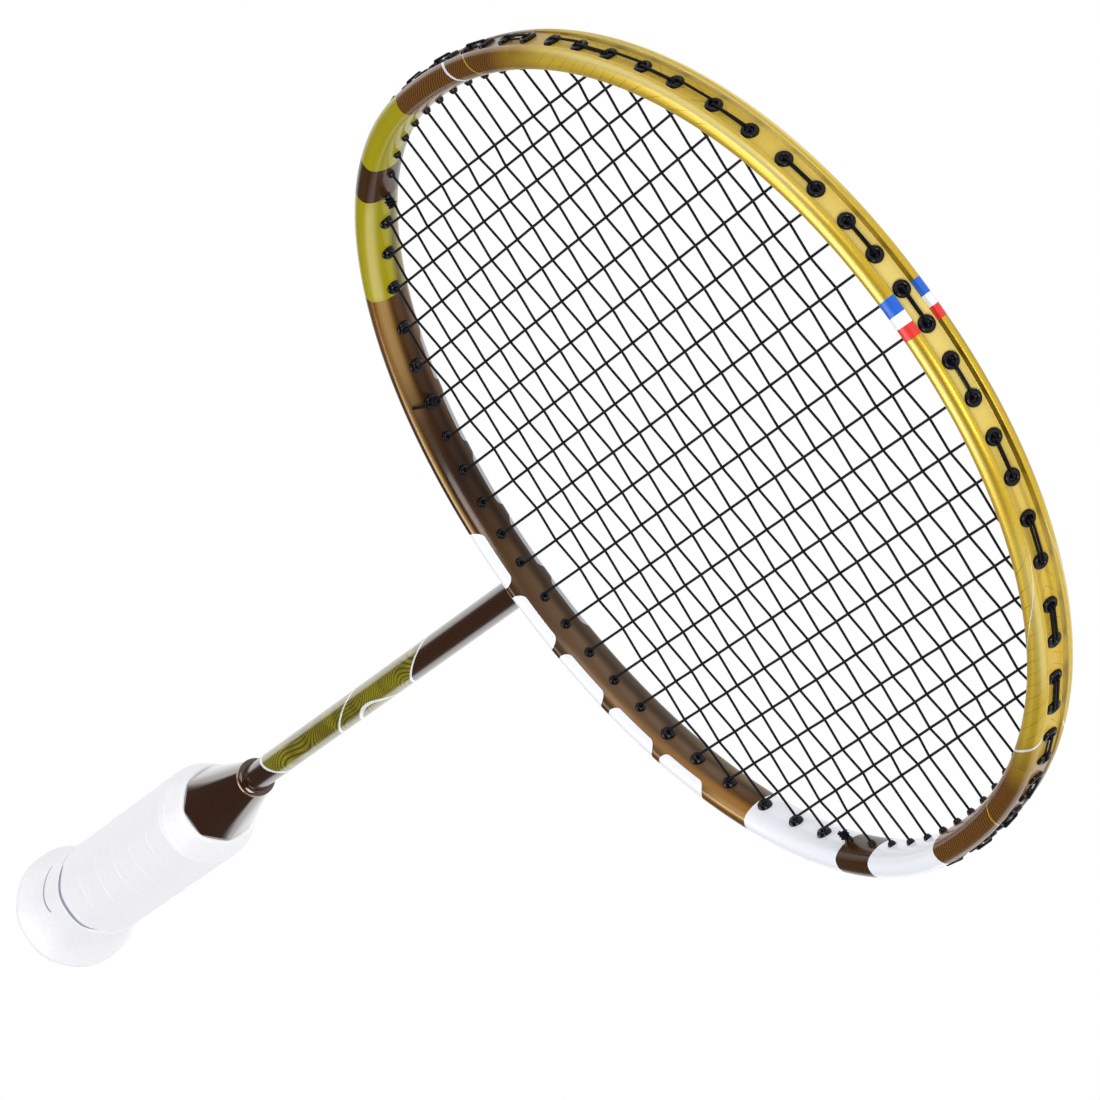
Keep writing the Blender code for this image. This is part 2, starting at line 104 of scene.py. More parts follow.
class RacketPaint(bpy.types.PropertyGroup):
    """Colours of the racket, some also laid on the hoop and butt as painted highlights and painted shade."""

    gold: colour("Gold", "Tip half of the head", "CCAC30")
    # Bronze is the shoulders' own colour; it is also laid as a painted dark reflection band on the tip's rail and a
    # painted shade line in the channel floor.
    bronze: colour("Bronze", "Shoulders, where gold turns to brown", "573511")
    brown: colour("Brown", "Throat and thin bands", "432A10")
    # Cream is painted light: painted highlight streaks on the gold rails and olive band, painted light on the groove
    # walls, and a painted reflection on the channel floor.
    cream: colour("Cream", "Floor of the channel", "E6D68C")
    # Painted sheen: a lighter bronze laid on the inner wall of the throat, strongest on the right.
    dust: colour("Dust", "Sheen inside the throat", "6A5440")
    # Painted highlight: bright streaks along the crest and inner edge of the throat's rails.
    brass: colour("Brass", "Streaks along the throat", "AE8C52")
    # Fine lines is the real lined decoration; the same tone is also laid as a painted glow and painted highlight
    # along the throat's crest.
    line: colour("Fine lines", "Thin lines on the brown shoulders", "B57A22")
    olive: colour("Olive", "Bands on the left shoulder", "9C9108")
    moss: colour("Moss", "Lined length of the shaft", "8F8716")
    reed: colour("Reed", "Lines on the moss", "43340A")
    white: colour("White", "Bands, panels and lines", "ECEEF5")
    blue: colour("Blue", "Stripe at the tip", "1F5FC4")
    red: colour("Red", "Stripe at the tip", "D8322C")
    umber: colour("Umber", "Shaft and cone", "331A08")
    copper: colour("Copper", "Ring on the cone", "B98252")
    tape: colour("Tape", "Grip tape and butt", "F1F1F5")
    # Painted shadow: the grey laid in the recessed gap between the butt and the tape, and along a short crease on the
    # butt.
    slit: colour("Slit", "Gap between the butt and the tape", "8F94A6")
    # Black is the grommets' and strings' own colour; it is also laid as painted shade on the left of the throat's
    # inner wall and beside a throat highlight.
    black: colour("Black", "Grommets and strings", "0E0D14")
    wood: colour("Wood", "Handle core", "C29A66")


class RacketStage(bpy.types.PropertyGroup):
    """Camera, floor and lamps."""

    lens: FloatProperty(name="Lens", description="Focal length", default=279.35, unit="CAMERA")
    drop: length("Floor drop", "How far the floor lies under the origin", 450.0)
    room: FloatProperty(name="Room", description="Brightness of the room above the horizon", default=0.04)
    key: FloatProperty(name="Key", description="Power of the key lamp", default=54.0, unit="POWER")
    fill: FloatProperty(name="Fill", description="Power of the fill lamp", default=44.0, unit="POWER")
    side: FloatProperty(name="Side", description="Power of the side lamp", default=16.0, unit="POWER")


def millimetres(context):
    """Sizes of the racket as plain numbers, lengths in millimetres."""
    sizes = context.scene.racket_sizes
    counts = ("tip_squareness", "throat_squareness", "mains", "crosses")
    table = {}
    for key in RacketSizes.__annotations__:
        value = getattr(sizes, key)
        table[key] = value if key in counts else value * 1000
    return table


def wall(size, angle):
    """Inner wall and outward normal: x = a c^(2/n), y = b s^(2/n), two halves."""
    c, s = np.cos(angle), np.sin(angle)
    n = np.where(s >= 0, size["tip_squareness"], size["throat_squareness"])
    reach = np.where(s >= 0, size["tip_reach"], size["throat_reach"])
    u = np.sign(c) * np.abs(c) ** (2 / n)
    v = np.sign(s) * np.abs(s) ** (2 / n)
    nx = np.sign(u) * np.abs(u) ** (n - 1) / size["half_width"]
    ny = np.sign(v) * np.abs(v) ** (n - 1) / reach
    norm = np.hypot(nx, ny)
    widest = size["overall"] - size["hoop_width"] - size["tip_reach"]
    return size["half_width"] * u, widest + reach * v, nx / norm, ny / norm


def stations(size, count):
    """Angles at equal steps from the throat over the left side, tip and right side."""
    fine = np.linspace(1.5 * np.pi, -0.5 * np.pi, 9601)
    x, y, _, _ = wall(size, fine)
    run = np.concatenate([[0.0], np.cumsum(np.hypot(np.diff(x), np.diff(y)))])
    return np.interp(np.linspace(0, run[-1], count + 1), run, fine), run[-1]


def through(points, steps):
    """Closed smooth curve through points, as uniform Catmull-Rom pieces."""
    p = np.asarray(points, float)
    a, b, c = np.roll(p, 1, 0), np.roll(p, -1, 0), np.roll(p, -2, 0)
    t = np.linspace(0, 1, steps, endpoint=False)[None, :, None]
    a, p, b, c = (q[:, None, :] for q in (a, p, b, c))
    curve = 0.5 * (
        2 * p + (b - a) * t + (2 * a - 5 * p + 4 * b - c) * t ** 2 + (3 * p - a - 3 * b + c) * t ** 3
    )
    return curve.reshape(-1, curve.shape[-1])


class Shell:
    """Grid surfaces collected into one mesh, with a paint coordinate on every corner."""

    def __init__(self):
        self.points, self.quads, self.uvs, self.count = [], [], [], 0

    def grid(self, points, u, v, wrap_u=False, wrap_v=False):
        """Quads over a grid of points (rows, columns, 3); u and v run along its edges."""
        rows, columns = points.shape[:2]
        a, b = np.meshgrid(
            np.arange(rows if wrap_u else rows - 1), np.arange(columns if wrap_v else columns - 1), indexing="ij"
        )
        corners = ((a, b), (a + 1, b), (a + 1, b + 1), (a, b + 1))
        quads = np.stack([(i % rows) * columns + j % columns for i, j in corners], -1).reshape(-1, 4)
        paint = np.stack([np.stack([np.asarray(u)[i], np.asarray(v)[j]], -1) for i, j in corners], -2)
        paint = paint.reshape(-1, 4, 2)
        flat = points.reshape(-1, 3)
        p, q, r, s = (flat[quads[:, i]] - flat.mean(0) for i in range(4))
        volume = np.sum(np.cross(p, q) * r) + np.sum(np.cross(p, r) * s)
        if volume < 0:
            quads, paint = quads[:, ::-1], paint[:, ::-1]
        self.quads.append(quads + self.count)
        self.uvs.append(paint.reshape(-1, 2))
        self.points.append(flat)
        self.count += rows * columns

    def piece(self, context, name, material, nodes, sharp=None):
        """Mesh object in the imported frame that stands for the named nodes."""
        size = millimetres(context)
        points = (np.concatenate(self.points) - (0.0, size["overall"] / 2, 0.0)) / 1000
        quads = np.concatenate(self.quads)
        mesh = bpy.data.meshes.new(name)
        mesh.from_pydata(points.tolist(), [], quads.tolist())
        layer = mesh.uv_layers.new(name="paint")
        layer.data.foreach_set("uv", np.concatenate(self.uvs).astype(np.float32).ravel())
        mesh.polygons.foreach_set("use_smooth", np.ones(len(quads), bool))
        join = bmesh.new()
        join.from_mesh(mesh)
        bmesh.ops.remove_doubles(join, verts=join.verts, dist=1e-8)
        join.to_mesh(mesh)
        join.free()
        if sharp:
            mesh.set_sharp_from_angle(angle=math.radians(sharp))
        mesh.materials.append(material)
        item = bpy.data.objects.new(name, mesh)
        context.scene.collection.objects.link(item)
        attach(item, "root")
        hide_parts(*nodes)
        return item


def lathe(shell, centre, axis, profile, sides):
    """Turned solid: profile points (radius, height) from pole to pole about an axis in the string plane."""
    centre, axis = np.asarray(centre, float), np.asarray(axis, float)
    across = np.array([-axis[1], axis[0], 0.0])
    turn = np.linspace(0, 2 * np.pi, sides, endpoint=False)
    spokes = np.cos(turn)[:, None] * across + np.sin(turn)[:, None] * (0.0, 0.0, 1.0)
    r, h = np.asarray(profile, float).T
    points = centre + spokes[:, None] * r[None, :, None] + axis * h[None, :, None]
    shell.grid(points, np.linspace(0, 1, sides + 1), np.linspace(0, 1, len(r)), wrap_u=True)


def tube(shell, path, radius, sides):
    """Round tube along a path that never runs straight up."""
    path = np.asarray(path, float)
    along = np.gradient(path, axis=0)
    along /= np.linalg.norm(along, axis=1, keepdims=True)
    level = np.cross(along, (0.0, 0.0, 1.0))
    level /= np.linalg.norm(level, axis=1, keepdims=True)
    up = np.cross(level, along)
    turn = np.linspace(0, 2 * np.pi, sides, endpoint=False)[None, :, None]
    rings = path[:, None] + radius * (np.cos(turn) * level[:, None] + np.sin(turn) * up[:, None])
    ends = np.broadcast_to(path[[0, -1], None], (2, sides, 3))
    rings = np.concatenate([ends[:1], rings, ends[1:]])
    run = np.concatenate([[0.0, 0.0], np.cumsum(np.linalg.norm(np.diff(path, axis=0), axis=1))])
    shell.grid(rings, np.append(run, run[-1]) / 10, np.linspace(0, 1, sides + 1), wrap_v=True)


def rounded(points, cut, steps=5):
    """Open path with each corner replaced by a quadratic arc that starts cut away."""
    points = [np.asarray(p, float) for p in points]
    path = [points[0]]
    for before, corner, after in zip(points[:-2], points[1:-1], points[2:]):
        near = min(cut, 0.45 * np.linalg.norm(corner - before), 0.45 * np.linalg.norm(after - corner))
        one = corner + (before - corner) / np.linalg.norm(before - corner) * near
        two = corner + (after - corner) / np.linalg.norm(after - corner) * near
        for t in np.linspace(0, 1, steps):
            path.append((1 - t) ** 2 * one + 2 * t * (1 - t) * corner + t ** 2 * two)
    return path + [points[-1]]


def channel(size, run):
    """Depth of the outer channel at a distance from the tip: full, then shallow past the shoulders."""
    fall = np.clip((np.abs(run) - 88.0) / 40.0, 0, 1) - np.clip((np.abs(run) - 205.0) / 30.0, 0, 1)
    return size["groove_depth"] + (0.25 - size["groove_depth"]) * fall * fall * (3 - 2 * fall)


class Hole:
    """A string hole: bend point inside the hoop, exit on the channel's floor, axis."""

    def __init__(self, size, angle, side):
        x, y, nx, ny = (float(q) for q in wall(size, np.array(angle)))
        way = wall(size, np.linspace(0.5 * np.pi, angle, 400))
        run = np.hypot(np.diff(way[0]), np.diff(way[1])).sum()
        floor = size["hoop_width"] - float(channel(size, run))
        self.floor = floor
        self.normal = np.array([side * nx, ny, 0.0])
        self.bend = np.array([side * (x - 1.1 * nx), y - 1.1 * ny, 0.0])
        self.exit = np.array([side * (x + floor * nx), y + floor * ny, 0.0])
        self.axis = self.normal
        self.seat = 0.0

    def lean(self, reach):
        """Move the exit out to a distance from the middle line."""
        tangent = np.array([abs(self.normal[1]), -abs(self.normal[0]), 0.0])
        side = np.sign(self.exit[0])
        shift = max(0.0, reach - abs(self.exit[0]))
        self.exit = self.exit + np.array([side, 1.0, 1.0]) * np.array([1.0, -1.0, 0.0]) * tangent * shift
        run = self.exit - self.bend
        self.axis = run / np.linalg.norm(run)

    def inside(self, side):
        """Bend point of the main string (side 1) or the cross string (side -1)."""
        return self.bend + (0.0, 0.0, side * self.seat)

    def outside(self, rise, side):
        """Point of that string above the hole's exit."""
        point = self.exit + self.axis * rise / max(0.2, float(self.axis @ self.normal))
        return point + (0.0, 0.0, side * self.seat)


def lay_out(size):
    """Holes by name: T at the tip, B at the throat and C at the sides."""
    angle = np.linspace(-0.4999 * np.pi, 0.4999 * np.pi, 20001)
    x, y, nx, ny = wall(size, angle)
    bend_x, bend_y = x - 1.1 * nx, y - 1.1 * ny
    tip, throat = angle > 0.02, angle < -0.02
    index = np.arange(1, size["mains"] + 1)
    tip_x = (np.minimum(index, 8) - 0.5) * 7.95 + np.clip(index - 8, 0, 2) * 6.2 + (index == 11) * 4.7
    throat_x = (np.minimum(index, 9) - 0.5) * 8.15 + (index > 9) * 6.5 + (index == 11) * 5.2
    tip_angle = np.interp(-tip_x, -bend_x[tip], angle[tip])
    throat_angle = np.interp(throat_x, bend_x[throat], angle[throat])
    high, low = np.interp((tip_angle[-1], throat_angle[-1]), angle, bend_y)
    side_angle = np.interp(high + (low - high) * np.arange(1, 15) / 15, bend_y, angle)
    holes = {}
    for side, letter in ((1, "R"), (-1, "L")):
        for i in range(size["mains"]):
            holes["T%d%s" % (i + 1, letter)] = Hole(size, tip_angle[i], side)
            holes["B%d%s" % (i + 1, letter)] = Hole(size, throat_angle[i], side)
        for k in range(14):
            holes["C%d%s" % (k + 6, letter)] = Hole(size, side_angle[k], side)
        for i in (1, 2, 3):
            holes["B%d%s" % (i, letter)].lean(6.85 + (i - 1) * 4.3)
    shared = ["%s%d%s" % (row, i, letter) for row, first in (("T", 7), ("B", 8))
              for i in range(first, size["mains"] + 1) for letter in "LR"]
    for name in shared + ["C19L", "C19R", "T6R", "B6L", "B7L"]:
        holes[name].seat = 0.38
    return holes


def cross_hole(k, letter):
    """Name of the hole that cross string k uses on one side."""
    if k <= 5:
        return "T%d%s" % (6 + k, letter)
    if k >= 20:
        return "B%d%s" % (31 - k, letter)
    return "C%d%s" % (k, letter)


def ease(start, end, heights, where):
    """Run from start to end whose height swings between crossings: mostly straight, bent close to each."""
    stops = np.concatenate([[0.0], where, [1.0]])
    levels = np.concatenate([[start[2]], heights, [end[2]]])
    t = np.array([0.0, 0.05, 0.11, 0.2, 0.5, 0.8, 0.89, 0.95])
    lift = 0.72 * t + 0.28 * (0.5 - 0.5 * np.cos(np.pi * t))
    share = (stops[:-1, None] + np.diff(stops)[:, None] * t).ravel()
    path = start + (end - start) * share[:, None]
    path[:, 2] = (levels[:-1, None] + np.diff(levels)[:, None] * lift).ravel()
    return list(path) + [end]


def paint(name):
    """New material, its node tree and its shader."""
    material = bpy.data.materials.new(name)
    material.use_nodes = True
    return material, material.node_tree, material.node_tree.nodes["Principled BSDF"]


def feed(tree, slot, value):
    if isinstance(value, bpy.types.NodeSocket):
        tree.links.new(value, slot)
    else:
        slot.default_value = value


def calc(tree, operation, *values):
    node = tree.nodes.new("ShaderNodeMath")
    node.operation = operation
    for slot, value in zip(node.inputs, values):
        feed(tree, slot, value)
    return node.outputs[0]


def over(tree, factor, below, above):
    """Colour above laid over colour below where factor is one."""
    node = tree.nodes.new("ShaderNodeMix")
    node.data_type = "RGBA"
    for index, value in ((0, factor), (6, below), (7, above)):
        feed(tree, node.inputs[index], (*value, 1.0) if isinstance(value, tuple) else value)
    return node.outputs[2]


def between(tree, value, low, high):
    return calc(tree, "MULTIPLY", calc(tree, "GREATER_THAN", value, low), calc(tree, "LESS_THAN", value, high))


def near(tree, value, centre, half):
    """One where value lies within half of a centre that may be a socket."""
    return calc(tree, "LESS_THAN", calc(tree, "ABSOLUTE", calc(tree, "SUBTRACT", value, centre)), half)


def ramp(tree, value, stops):
    node = tree.nodes.new("ShaderNodeValToRGB")
    band = node.color_ramp.elements
    while len(band) < len(stops):
        band.new(0.5)
    for element, (place, shade) in zip(band, stops):
        element.position = place
        element.color = (*shade, 1.0)
    tree.links.new(value, node.inputs[0])
    return node.outputs[0]


def coordinates(tree, kind):
    """The three numbers of the paint map, of the object's own space or of the sky's direction."""
    if kind == "paint":
        node = tree.nodes.new("ShaderNodeUVMap")
        node.uv_map = "paint"
        output = node.outputs[0]
    else:
        output = tree.nodes.new("ShaderNodeTexCoord").outputs["Object" if kind == "object" else "Generated"]
    split = tree.nodes.new("ShaderNodeSeparateXYZ")
    tree.links.new(output, split.inputs[0])
    return output, split.outputs


def speckle(tree, vector, scale, detail=2.0):
    node = tree.nodes.new("ShaderNodeTexNoise")
    node.inputs["Scale"].default_value = scale
    node.inputs["Detail"].default_value = detail
    tree.links.new(vector, node.inputs["Vector"])
    return node.outputs["Fac"]


def relief(tree, shader, height, strength, distance):
    node = tree.nodes.new("ShaderNodeBump")
    node.inputs["Strength"].default_value = strength
    node.inputs["Distance"].default_value = distance
    tree.links.new(height, node.inputs["Height"])
    tree.links.new(node.outputs[0], shader.inputs["Normal"])


def tones(context):
    colours = context.scene.racket_paint
    return {key: tuple(getattr(colours, key)) for key in RacketPaint.__annotations__}


def darken(tree, base, shade):
    """Base colour multiplied by a shade."""
    node = tree.nodes.new("ShaderNodeMix")
    node.data_type = "RGBA"
    node.blend_type = "MULTIPLY"
    node.inputs[0].default_value = 1.0
    feed(tree, node.inputs[6], base)
    feed(tree, node.inputs[7], shade)
    return node.outputs[2]


def grey(level):
    return (level, level, level)


def contours(tree, field, pitch, width):
    """One on thin lines a pitch apart over a field in millimetres."""
    return calc(tree, "LESS_THAN", calc(tree, "PINGPONG", field, pitch / 2), width / 2)


def frame_paint(context, perimeter):
    """Lacquer of the hoop: gold tip, brown throat, bands, fine lines and rounded panels, with painted highlights,
    painted reflections and painted shade laid into the colour.
    """
    tone = tones(context)
    material, tree, shader = paint("frame_lacquer")
    vector, _ = coordinates(tree, "object")
    _, (u, v, _) = coordinates(tree, "paint")
    along = calc(tree, "MULTIPLY", calc(tree, "SUBTRACT", u, 0.5), perimeter)
    away = calc(tree, "ABSOLUTE", along)
    across = calc(tree, "ABSOLUTE", calc(tree, "SUBTRACT", v, 0.5))
    tip = calc(tree, "MULTIPLY_ADD", along, 1 / 240, 0.5)
    turn = calc(tree, "MULTIPLY_ADD", calc(tree, "SUBTRACT", v, calc(tree, "GREATER_THAN", v, 0.5)), 2.0, 0.5)
    apart = calc(tree, "SUBTRACT", perimeter / 2, away)
    facing = calc(tree, "SIGN", calc(tree, "MULTIPLY", calc(tree, "SUBTRACT", 0.5, v), along))
    run = calc(tree, "MULTIPLY_ADD", apart, facing, 17.0)
    base = ramp(tree, calc(tree, "DIVIDE", away, perimeter / 2), (
        (0.0, tone["gold"]), (0.315, tone["gold"]), (0.385, tone["bronze"]), (0.53, tone["bronze"]),
        (0.6, tone["brown"]), (0.76, tone["brown"]), (0.8, tone["bronze"]), (0.92, tone["brown"]),
    ))
    sway = calc(tree, "MULTIPLY", speckle(tree, vector, 24.0, 0.0), 26.0)
    field = calc(tree, "ADD", calc(tree, "MULTIPLY_ADD", across, 30.0, along), sway)
    zone = calc(tree, "MULTIPLY", between(tree, away, 112.0, 221.4), 0.4)
    base = over(tree, calc(tree, "MULTIPLY", contours(tree, field, 1.2, 0.4), zone), base, tone["line"])
    field = calc(tree, "ADD", calc(tree, "MULTIPLY_ADD", across, -60.0, away), sway)
    zone = calc(tree, "MULTIPLY", between(tree, away, 52.0, 112.0), 0.7)
    base = over(tree, calc(tree, "MULTIPLY", contours(tree, field, 5.0, 0.2), zone), base, tone["bronze"])
    base = darken(tree, base, ramp(tree, speckle(tree, vector, 1800.0), ((0.35, grey(0.9)), (0.65, grey(1.0)))))

    # Painted glow: the throat's crest near the ends of the hoop is lightened with the fine-line tone as a painted
    # sheen.
    glow = ramp(tree, calc(tree, "DIVIDE", away, perimeter / 2), (
        (0.72, grey(0.0)), (0.77, grey(0.45)), (0.82, grey(0.4)), (0.91, grey(0.0)),
    ))
    crest = ramp(tree, v, ((0.03, grey(0.0)), (0.09, grey(1.0)), (0.16, grey(0.6)), (0.22, grey(0.0))))
    base = over(tree, calc(tree, "MULTIPLY", glow, crest), base, tone["line"])

    def streak(base, shade, rows, stops):
        """Shade laid over base by two ramps, of rows and of stops: (socket, (place, level), ...)."""
        first, second = (
            ramp(tree, value, [(place, grey(level)) for place, level in levels]) for value, *levels in (rows, stops)
        )
        return over(tree, calc(tree, "MULTIPLY", first, second), base, tone[shade])

    # Painted highlight: a cream streak along the gold rails from the left shoulder to the tip.
    sheen = (across, (0.215, 0.0), (0.24, 1.0), (0.262, 1.0), (0.29, 0.0))
    base = streak(base, "cream", sheen, (tip, (0.0, 0.0), (0.1, 0.7), (0.35, 0.8), (0.42, 0.0)))
    # Painted reflection: a darker band along the rail just right of the tip.
    sheen = (across, (0.225, 0.0), (0.24, 1.0), (0.262, 1.0), (0.28, 0.0))
    base = streak(base, "bronze", sheen, (tip, (0.47, 0.0), (0.54, 0.3), (0.64, 0.25), (0.7, 0.0)))
    # Painted highlights: paler cream streaks on the rail at the tip and on the right shoulder.
    sheen = (across, (0.265, 0.0), (0.285, 1.0), (0.3, 1.0), (0.32, 0.0))
    base = streak(base, "cream", sheen, (tip, (0.36, 0.0), (0.42, 0.45), (0.6, 0.45), (0.68, 0.0)))
    sheen = (across, (0.215, 0.0), (0.235, 1.0), (0.27, 1.0), (0.295, 0.0))
    base = streak(base, "cream", sheen, (tip, (0.68, 0.0), (0.76, 0.55), (0.85, 0.55), (0.9, 0.0)))
    ends = calc(tree, "MULTIPLY_ADD", calc(tree, "MULTIPLY", apart, calc(tree, "SIGN", along)), 0.005, 0.5)
    # Painted sheen and painted shade on the throat's inner wall: lighter bronze towards the right, darker on the
    # left.
    hollow = (turn, (0.15, 0.0), (0.3, 1.0), (0.68, 1.0), (0.78, 0.0))
    base = streak(base, "dust", hollow, (ends, (0.38, 0.0), (0.5, 0.45), (0.6, 0.8), (0.82, 0.8), (0.9, 0.0)))
    base = streak(base, "black", hollow, (ends, (0.1, 0.0), (0.22, 0.5), (0.36, 0.55), (0.46, 0.0)))
    # Painted highlights along the throat's rails in brass and fine-line tones, with a painted dark band beside the
    # left one.
    face = calc(tree, "MULTIPLY_ADD", run, 0.005, 0.415)
    crest = (across, (0.342, 0.0), (0.358, 1.0), (0.368, 1.0), (0.384, 0.0))
    base = streak(base, "brass", crest, (face, (0.12, 0.0), (0.22, 0.4), (0.34, 0.9), (0.44, 0.9), (0.46, 0.0)))
    crest = (across, (0.3, 0.0), (0.315, 1.0), (0.335, 1.0), (0.35, 0.0))
    base = streak(base, "black", crest, (face, (0.12, 0.0), (0.22, 0.4), (0.44, 0.4), (0.46, 0.0)))
    crest = (across, (0.37, 0.0), (0.4, 1.0), (0.425, 1.0), (0.455, 0.0))
    base = streak(base, "brass", crest, (face, (0.05, 0.0), (0.09, 0.65), (0.2, 0.55), (0.28, 0.0)))
    crest = (across, (0.385, 0.0), (0.405, 1.0), (0.43, 1.0), (0.455, 0.0))
    base = streak(base, "line", crest, (face, (0.58, 0.0), (0.7, 0.2), (0.83, 0.45), (0.88, 0.4), (0.93, 0.0)))
    crest = (across, (0.345, 0.0), (0.365, 1.0), (0.385, 1.0), (0.405, 0.0))
    base = streak(base, "brass", crest, (face, (0.82, 0.0), (0.85, 0.8), (0.9, 0.8), (0.95, 0.0)))

    left = calc(tree, "LESS_THAN", along, 0.0)
    # Painted highlight: a cream streak along the lower olive band on the left shoulder.
    crest = (across, (0.36, 0.0), (0.385, 1.0), (0.41, 1.0), (0.44, 0.0))
    part = calc(tree, "DIVIDE", away, perimeter / 2)
    band = streak(tone["olive"], "cream", crest, (part, (0.65, 0.0), (0.69, 0.35), (0.77, 0.4), (0.78, 0.0)))
    band = over(tree, left, tone["white"], band)
    place = calc(tree, "ADD", between(tree, away, 187.0, 221.4), between(tree, away, 235.3, 269.8))
    base = over(tree, place, base, band)
    rail = between(tree, across, 0.08, 0.44)
    flag = calc(tree, "MULTIPLY", between(tree, along, -4.1, 4.7), rail)
    stripe = over(tree, calc(tree, "GREATER_THAN", along, -0.6), tone["blue"], tone["white"])
    stripe = over(tree, calc(tree, "GREATER_THAN", along, 1.9), stripe, tone["red"])
    base = over(tree, flag, base, stripe)
    outside = calc(tree, "GREATER_THAN", across, 0.17)
    right = calc(tree, "GREATER_THAN", along, 0.0)
    stripes = (
        (right, 76.0, 170.0, 0.35, "white"), (right, 117.3, 54.0, 0.5, "white"), (left, 154.0, -36.0, 0.6, "white"),
        (right, 150.0, -36.0, 0.25, "gold"), (left, 143.0, -36.0, 0.25, "gold"),
    )
    for side, centre, slant, half, shade in stripes:
        middle = calc(tree, "MULTIPLY_ADD", calc(tree, "SUBTRACT", across, 0.33), slant, centre)
        line = calc(tree, "MULTIPLY", near(tree, away, middle, half), calc(tree, "MULTIPLY", side, outside))
        base = over(tree, line, base, tone[shade])

    cell = calc(tree, "SUBTRACT", calc(tree, "MODULO", run, 16.5), 8.25)
    side = calc(tree, "MAXIMUM", calc(tree, "SUBTRACT", calc(tree, "ABSOLUTE", cell), 5.0), 0.0)
    rise = calc(tree, "MULTIPLY", calc(tree, "ABSOLUTE", calc(tree, "SUBTRACT", across, 0.31)), 31.0)
    rise = calc(tree, "MAXIMUM", calc(tree, "SUBTRACT", rise, 1.0), 0.0)
    corner = calc(tree, "SQRT", calc(tree, "ADD", calc(tree, "POWER", side, 2.0), calc(tree, "POWER", rise, 2.0)))
    panel = calc(tree, "MULTIPLY", calc(tree, "LESS_THAN", corner, 2.0), between(tree, run, 0.0, 82.5))
    base = over(tree, panel, base, tone["white"])
    # Painted reflection: the channel floor turns pale cream near the tip, fading out towards the shoulders.
    floor = calc(tree, "LESS_THAN", across, 0.072)
    pale = calc(tree, "MAXIMUM", calc(tree, "MULTIPLY_ADD", away, -0.009, 0.55), 0.0)
    base = over(tree, calc(tree, "MULTIPLY", floor, pale), base, tone["cream"])
    # Painted light: the groove walls are lightened with cream on either side of the tip.
    groove = (across, (0.07, 0.0), (0.085, 1.0), (0.16, 1.0), (0.2, 0.0))
    base = streak(base, "cream", groove, (tip, (0.02, 0.0), (0.08, 0.65), (0.34, 0.85), (0.4, 0.25), (0.46, 0.0)))
    base = streak(base, "cream", groove, (tip, (0.67, 0.0), (0.74, 0.65), (0.94, 0.6), (0.98, 0.0)))
    # Painted shade: a darker line in the channel floor to the right of the tip.
    floor_shade = (across, (0.012, 0.0), (0.022, 1.0), (0.036, 1.0), (0.046, 0.0))
    base = streak(base, "bronze", floor_shade, (tip, (0.62, 0.0), (0.66, 0.32), (0.78, 0.32), (0.84, 0.0)))
    # Painted shade: the lower side of the hoop's inner wall is darkened, except on the white bands.
    shade = ramp(tree, turn, (
        (0.22, grey(1.0)), (0.27, grey(0.4)), (0.4, grey(0.4)), (0.48, grey(1.0)),
    ))
    base = darken(tree, base, over(tree, calc(tree, "MULTIPLY", place, right), shade, grey(1.0)))
    inner = calc(tree, "GREATER_THAN", across, 0.425)
    # Painted shade: the groove walls are darkened close to the tip, kept bright towards the sides and under the flag.
    shade = ramp(tree, across, (
        (0.0, grey(1.0)), (0.07, grey(1.0)), (0.082, grey(0.22)), (0.145, grey(0.22)), (0.165, grey(1.0)),
    ))
    bright = ramp(tree, tip, ((0.37, grey(1.0)), (0.47, grey(0.3)), (0.53, grey(0.0)), (0.63, grey(0.0)), (0.72, grey(1.0))))
    bright = calc(tree, "MAXIMUM", bright, flag)
    base = darken(tree, base, over(tree, bright, shade, grey(1.0)))
    tree.links.new(base, shader.inputs["Base Color"])

    dark = calc(tree, "GREATER_THAN", away, 124.0)
    plain = calc(tree, "MAXIMUM", calc(tree, "MAXIMUM", place, panel), calc(tree, "MAXIMUM", flag, floor))
    plain = calc(tree, "MAXIMUM", plain, calc(tree, "MULTIPLY", dark, 0.6))
    tree.links.new(calc(tree, "MULTIPLY_ADD", plain, -0.5, 0.5), shader.inputs["Metallic"])
    tree.links.new(calc(tree, "MULTIPLY_ADD", dark, -0.12, 0.35), shader.inputs["Roughness"])
    tree.links.new(calc(tree, "MULTIPLY_ADD", inner, -0.15, 0.3), shader.inputs["Specular IOR Level"])
    tree.links.new(calc(tree, "MULTIPLY_ADD", inner, -0.08, 0.08), shader.inputs["Coat Weight"])
    shader.inputs["Coat Roughness"].default_value = 0.05
    return material


def plastic(name, shade, roughness, scale, strength, coat=0.0, depth=0.94):
    """Moulded plastic or tape: even colour with a fine grain in tone and relief."""
    material, tree, shader = paint(name)
    vector, _ = coordinates(tree, "object")
    grain = speckle(tree, vector, scale)
    dark = tuple(depth * c for c in shade)
    tree.links.new(ramp(tree, grain, ((0.3, dark), (0.7, shade))), shader.inputs["Base Color"])
    shader.inputs["Roughness"].default_value = roughness
    shader.inputs["Coat Weight"].default_value = coat
    if strength:
        relief(tree, shader, grain, strength, 0.0002)
    return material


